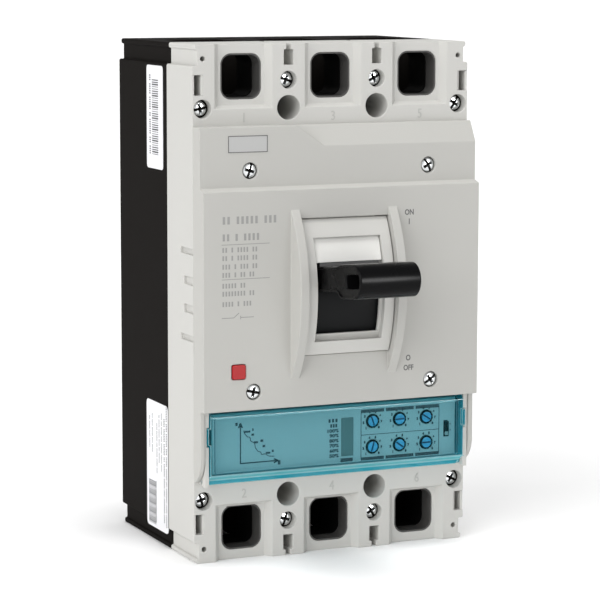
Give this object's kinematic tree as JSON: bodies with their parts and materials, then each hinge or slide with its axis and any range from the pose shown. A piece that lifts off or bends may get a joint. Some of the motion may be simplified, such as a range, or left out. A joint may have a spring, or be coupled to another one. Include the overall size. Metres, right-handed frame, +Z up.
{
  "type": "molded case circuit breaker",
  "caption": "Three-pole molded case circuit breaker with a toggle handle, terminal windows at both ends and an electronic trip unit under a clear hinged cover.",
  "frame": {"origin": "centre of the flat rear mounting face", "axes": "+Z up towards the line terminals, +X to the right of someone facing the front, +Y out of the rear mounting face; the front faces -Y"},
  "size_m": [0.15, 0.1716, 0.257],
  "materials": {
    "base_black": "fine matt moulding",
    "cover_grey": "fine matt moulding",
    "panel_grey": "matt",
    "handle_black": "satin",
    "button_red": "gloss",
    "clear_teal": "clear tinted plastic",
    "display_dark": "gloss",
    "dial_blue": "satin",
    "terminal_plated": "tin plated copper",
    "zinc_steel": "zinc plated"
  },
  "bodies": {
    "housing": {"base_housing": "base_black", "mid_cover": "cover_grey", "front_fascia": "cover_grey", "handle_frame": "cover_grey", "handle_axle": "zinc_steel", "trip_unit_panel": "panel_grey", "display_window": "display_dark", "test_socket": "handle_black", "line_terminal_1": "terminal_plated", "line_terminal_3": "terminal_plated", "line_terminal_5": "terminal_plated", "load_terminal_2": "terminal_plated", "load_terminal_4": "terminal_plated", "load_terminal_6": "terminal_plated", "fascia_screw_1": "zinc_steel", "fascia_screw_2": "zinc_steel", "fascia_screw_3": "zinc_steel", "fascia_screw_4": "zinc_steel", "side_screw_1": "zinc_steel", "side_screw_2": "zinc_steel", "side_screw_3": "zinc_steel", "side_screw_4": "zinc_steel", "mid_screw_1": "zinc_steel", "mid_screw_2": "zinc_steel", "mid_screw_3": "zinc_steel", "mid_screw_4": "zinc_steel"},
    "handle": {"handle_lever": "handle_black", "handle_shutter": "handle_black", "shutter_plate": "cover_grey"},
    "push_button": {"trip_button": "button_red"},
    "clear_cover": {"trip_unit_cover": "clear_teal"},
    "dial_1_knob": {"dial_1": "dial_blue"},
    "dial_2_knob": {"dial_2": "dial_blue"},
    "dial_3_knob": {"dial_3": "dial_blue"},
    "dial_4_knob": {"dial_4": "dial_blue"},
    "dial_5_knob": {"dial_5": "dial_blue"},
    "dial_6_knob": {"dial_6": "dial_blue"}
  },
  "joints": [
    {"name": "handle_pivot", "type": "hinge", "parent": "housing", "child": "handle", "pos_m": [0, -0.0546, 0.0058], "axis": [-1, 0, 0], "range_deg": [-17, 10.5]},
    {"name": "button_press", "type": "slide", "parent": "housing", "child": "push_button", "axis": [0, 1, 0], "range_m": [0, 0.002], "stiffness_N_per_m": 500, "springref_m": -0.001},
    {"name": "cover_hinge", "type": "hinge", "parent": "housing", "child": "clear_cover", "pos_m": [0, -0.1076, -0.0864], "axis": [1, 0, 0], "range_deg": [0, 95]},
    {"name": "dial_1_turn", "type": "hinge", "parent": "housing", "child": "dial_1_knob", "pos_m": [0.0205, -0.1086, -0.0623], "axis": [0, 1, 0], "range_deg": [-135, 135]},
    {"name": "dial_2_turn", "type": "hinge", "parent": "housing", "child": "dial_2_knob", "pos_m": [0.0357, -0.1086, -0.0623], "axis": [0, 1, 0], "range_deg": [-135, 135]},
    {"name": "dial_3_turn", "type": "hinge", "parent": "housing", "child": "dial_3_knob", "pos_m": [0.0509, -0.1086, -0.0623], "axis": [0, 1, 0], "range_deg": [-135, 135]},
    {"name": "dial_4_turn", "type": "hinge", "parent": "housing", "child": "dial_4_knob", "pos_m": [0.0205, -0.1086, -0.0755], "axis": [0, 1, 0], "range_deg": [-135, 135]},
    {"name": "dial_5_turn", "type": "hinge", "parent": "housing", "child": "dial_5_knob", "pos_m": [0.0357, -0.1086, -0.0755], "axis": [0, 1, 0], "range_deg": [-135, 135]},
    {"name": "dial_6_turn", "type": "hinge", "parent": "housing", "child": "dial_6_knob", "pos_m": [0.0509, -0.1086, -0.0755], "axis": [0, 1, 0], "range_deg": [-135, 135]}
  ]
}
